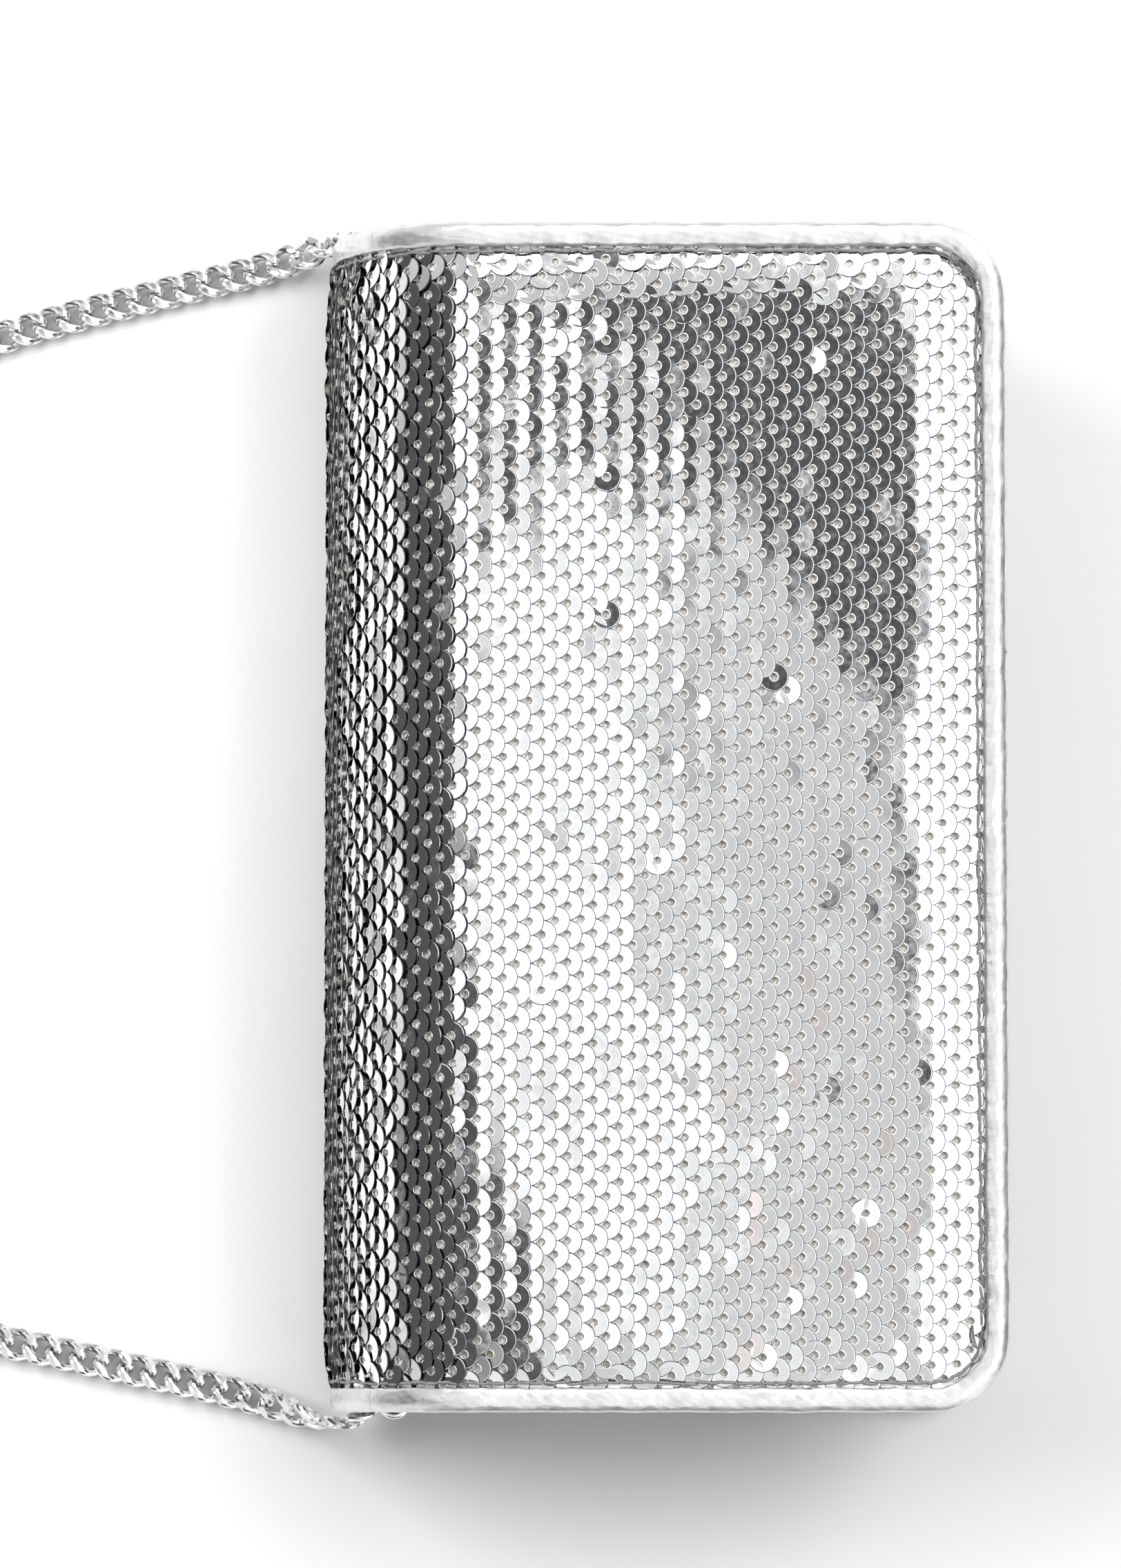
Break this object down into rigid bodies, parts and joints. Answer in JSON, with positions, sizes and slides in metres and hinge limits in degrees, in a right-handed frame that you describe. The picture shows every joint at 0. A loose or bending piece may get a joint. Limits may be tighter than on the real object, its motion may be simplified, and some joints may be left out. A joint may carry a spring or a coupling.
{
  "type": "evening bag",
  "caption": "Flat sequinned evening bag with a full fold-over flap, rolled metallic piping, magnetic snap and a curb chain strap, lying on its back.",
  "frame": {"origin": "under the middle of the bag, on the surface that its back lies on", "axes": "+Z out of the flap, +X from the fold to the flap's free edge, +Y along the bag's length"},
  "size_m": [0.2564, 0.2031, 0.038],
  "materials": {
    "silver_sequins": "overlapping mirror-silver flat sequins sewn in columns on grey-beige fabric",
    "silver_leather": "metallic silver foil leather, satin gloss, fine creases",
    "satin_lining": "grey satin weave",
    "board": "grey-brown fibre board",
    "foam": "white padding",
    "piping_cord": "white cotton cord",
    "plated_hardware": "polished nickel plate",
    "snap_metal": "satin nickel plate",
    "curb_chain": "polished flat curb links, diamond-cut faces"
  },
  "bodies": {
    "bag": {"back_skin": "silver_sequins", "back_board": "board", "heel_foam": "foam", "heel_lining": "satin_lining", "back_piping": "silver_leather", "back_piping_cord": "piping_cord", "gusset_band": "silver_leather", "lining": "satin_lining", "slip_pocket": "satin_lining", "front_panel": "silver_leather", "front_board": "board", "front_piping": "silver_leather", "mouth_binding": "silver_leather", "snap_socket": "snap_metal", "socket_washer": "snap_metal", "right_tab": "silver_leather", "left_tab": "silver_leather", "tab_rivets": "plated_hardware", "right_chain_run": "curb_chain", "chain_coil": "curb_chain", "left_chain_run": "curb_chain"},
    "fold": {"fold_skin": "silver_sequins", "fold_foam": "foam", "fold_lining": "satin_lining", "fold_piping": "silver_leather", "fold_piping_cord": "piping_cord"},
    "flap": {"flap_skin": "silver_sequins", "flap_foam": "foam", "flap_board": "board", "flap_lining": "satin_lining", "flap_piping": "silver_leather", "flap_piping_cord": "piping_cord", "snap_stud": "snap_metal", "stud_washer": "snap_metal"},
    "ring_right": {"right_ring": "plated_hardware", "right_end_link": "plated_hardware"},
    "ring_left": {"left_ring": "plated_hardware", "left_end_link": "plated_hardware"}
  },
  "joints": [
    {"name": "fold_hinge", "type": "hinge", "parent": "bag", "child": "fold", "pos_m": [-0.0565, 0, 0.013], "axis": [0, -1, 0], "range_deg": [0, 90]},
    {"name": "flap_hinge", "type": "hinge", "parent": "fold", "child": "flap", "pos_m": [-0.0315, 0, 0.038], "axis": [0, -1, 0], "range_deg": [0, 105]},
    {"name": "right_ring_swing", "type": "hinge", "parent": "bag", "child": "ring_right", "pos_m": [-0.038, 0.0953, 0.0105], "axis": [0, 0, -1], "range_deg": [-8, 20]},
    {"name": "left_ring_swing", "type": "hinge", "parent": "bag", "child": "ring_left", "pos_m": [-0.038, -0.0953, 0.0105], "axis": [0, 0, 1], "range_deg": [-8, 20]}
  ]
}
